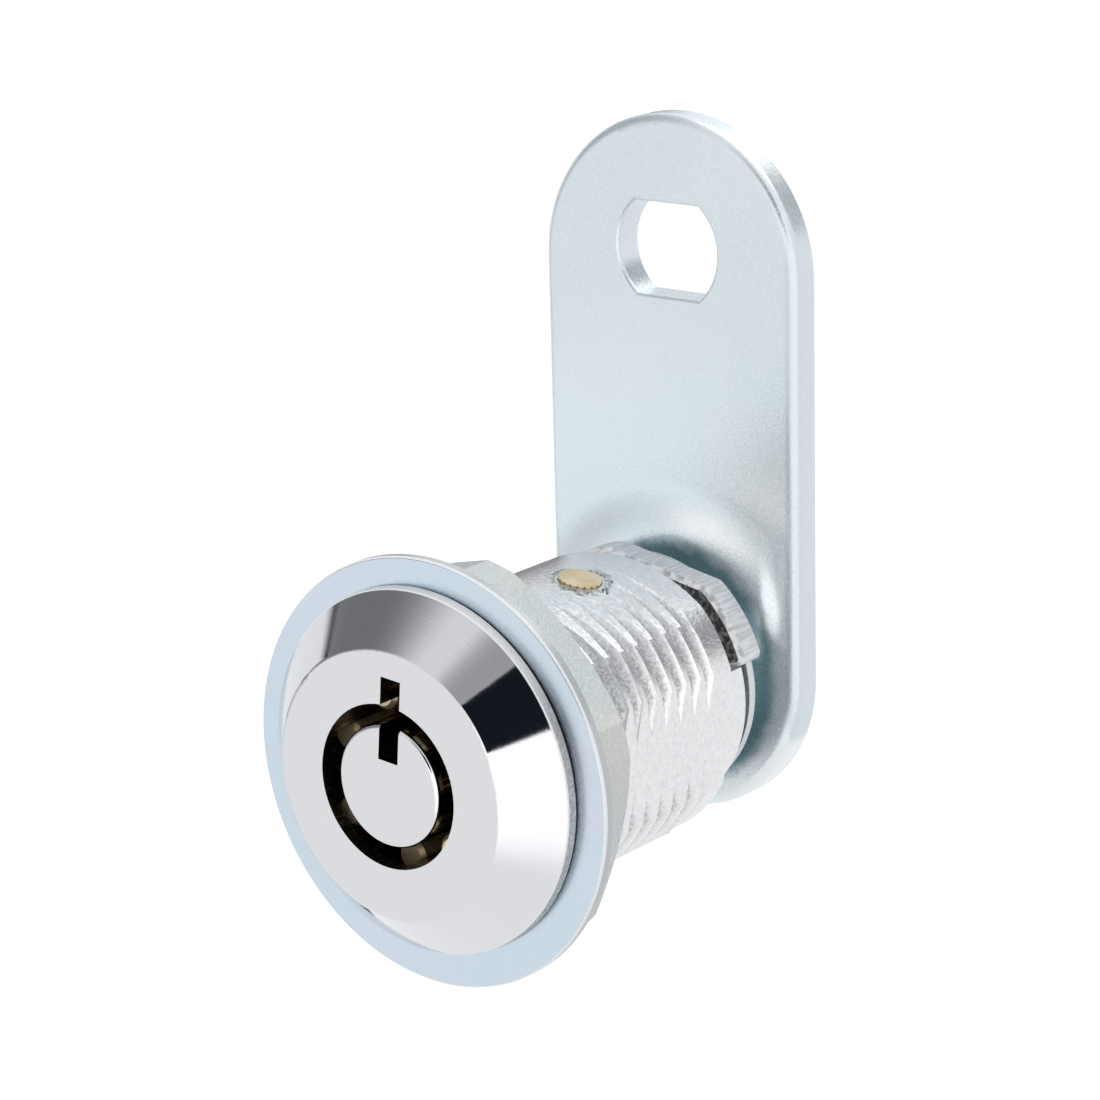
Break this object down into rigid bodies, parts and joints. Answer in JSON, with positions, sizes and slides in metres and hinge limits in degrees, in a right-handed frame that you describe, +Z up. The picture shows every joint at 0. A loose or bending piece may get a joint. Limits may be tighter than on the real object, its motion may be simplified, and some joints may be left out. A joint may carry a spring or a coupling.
{
  "type": "tubular cam lock",
  "caption": "Tubular cam lock: conical head with a ring keyway, threaded barrel with two flats, washer, hex nut and a flat round-ended cam on a flatted tail.",
  "frame": {"origin": "on the lock's axis, in the plane where the dress washer bears on the front of a panel", "axes": "+Y along the lock's axis from the head to the cam, +Z up along the cam, +X to the right seen from the front"},
  "size_m": [0.026, 0.0353, 0.0479],
  "materials": {
    "housing_chrome": "satin chrome on a zinc die casting",
    "cast_zinc": "plain zinc die casting",
    "washer_zinc": "pale blue zinc plate on steel",
    "nut_zinc": "grained zinc alloy nut",
    "cam_zinc": "pale blue zinc plate on steel",
    "plated_steel": "zinc plated steel",
    "spring_steel": "plain spring wire",
    "pin_brass": "turned brass"
  },
  "bodies": {
    "lock_body": {"housing": "housing_chrome", "dress_washer": "washer_zinc", "mounting_nut": "nut_zinc", "bushing": "cast_zinc", "retaining_pin": "pin_brass", "pin_spring_1": "spring_steel", "pin_spring_2": "spring_steel", "pin_spring_3": "spring_steel", "pin_spring_4": "spring_steel", "pin_spring_5": "spring_steel", "pin_spring_6": "spring_steel", "pin_spring_7": "spring_steel"},
    "rotor": {"spindle": "cast_zinc", "stop_plate": "plated_steel", "cam_spacer": "plated_steel", "cam": "cam_zinc", "lock_washer": "plated_steel", "cam_nut": "plated_steel"},
    "key_pin_1": {"key_pin_1": "pin_brass"},
    "driver_pin_1": {"driver_pin_1": "pin_brass"},
    "key_pin_2": {"key_pin_2": "pin_brass"},
    "driver_pin_2": {"driver_pin_2": "pin_brass"},
    "key_pin_3": {"key_pin_3": "pin_brass"},
    "driver_pin_3": {"driver_pin_3": "pin_brass"},
    "key_pin_4": {"key_pin_4": "pin_brass"},
    "driver_pin_4": {"driver_pin_4": "pin_brass"},
    "key_pin_5": {"key_pin_5": "pin_brass"},
    "driver_pin_5": {"driver_pin_5": "pin_brass"},
    "key_pin_6": {"key_pin_6": "pin_brass"},
    "driver_pin_6": {"driver_pin_6": "pin_brass"},
    "key_pin_7": {"key_pin_7": "pin_brass"},
    "driver_pin_7": {"driver_pin_7": "pin_brass"}
  },
  "joints": [
    {"name": "rotor_turn", "type": "hinge", "parent": "lock_body", "child": "rotor", "pos_m": [0, 0, 0], "axis": [0, -1, 0], "range_deg": [0, 90]},
    {"name": "key_pin_1_slide", "type": "slide", "parent": "rotor", "child": "key_pin_1", "axis": [0, 1, 0], "range_m": [-0.00058, 0]},
    {"name": "key_pin_2_slide", "type": "slide", "parent": "rotor", "child": "key_pin_2", "axis": [0, 1, 0], "range_m": [-0.00118, 0]},
    {"name": "key_pin_3_slide", "type": "slide", "parent": "rotor", "child": "key_pin_3", "axis": [0, 1, 0], "range_m": [-0.00033, 0]},
    {"name": "key_pin_4_slide", "type": "slide", "parent": "rotor", "child": "key_pin_4", "axis": [0, 1, 0], "range_m": [-0.00148, 0]},
    {"name": "key_pin_5_slide", "type": "slide", "parent": "rotor", "child": "key_pin_5", "axis": [0, 1, 0], "range_m": [-0.00058, 0]},
    {"name": "key_pin_6_slide", "type": "slide", "parent": "rotor", "child": "key_pin_6", "axis": [0, 1, 0], "range_m": [-0.00128, 0]},
    {"name": "key_pin_7_slide", "type": "slide", "parent": "rotor", "child": "key_pin_7", "axis": [0, 1, 0], "range_m": [-0.00103, 0]},
    {"name": "driver_pin_1_slide", "type": "slide", "parent": "lock_body", "child": "driver_pin_1", "axis": [0, 1, 0], "range_m": [0, 0.0009], "stiffness_N_per_m": 150, "springref_m": -0.0004, "deforming": ["pin_spring_1"]},
    {"name": "driver_pin_2_slide", "type": "slide", "parent": "lock_body", "child": "driver_pin_2", "axis": [0, 1, 0], "range_m": [0, 0.0009], "stiffness_N_per_m": 150, "springref_m": -0.0004, "deforming": ["pin_spring_2"]},
    {"name": "driver_pin_3_slide", "type": "slide", "parent": "lock_body", "child": "driver_pin_3", "axis": [0, 1, 0], "range_m": [0, 0.0009], "stiffness_N_per_m": 150, "springref_m": -0.0004, "deforming": ["pin_spring_3"]},
    {"name": "driver_pin_4_slide", "type": "slide", "parent": "lock_body", "child": "driver_pin_4", "axis": [0, 1, 0], "range_m": [0, 0.0009], "stiffness_N_per_m": 150, "springref_m": -0.0004, "deforming": ["pin_spring_4"]},
    {"name": "driver_pin_5_slide", "type": "slide", "parent": "lock_body", "child": "driver_pin_5", "axis": [0, 1, 0], "range_m": [0, 0.0009], "stiffness_N_per_m": 150, "springref_m": -0.0004, "deforming": ["pin_spring_5"]},
    {"name": "driver_pin_6_slide", "type": "slide", "parent": "lock_body", "child": "driver_pin_6", "axis": [0, 1, 0], "range_m": [0, 0.0009], "stiffness_N_per_m": 150, "springref_m": -0.0004, "deforming": ["pin_spring_6"]},
    {"name": "driver_pin_7_slide", "type": "slide", "parent": "lock_body", "child": "driver_pin_7", "axis": [0, 1, 0], "range_m": [0, 0.0009], "stiffness_N_per_m": 150, "springref_m": -0.0004, "deforming": ["pin_spring_7"]}
  ]
}
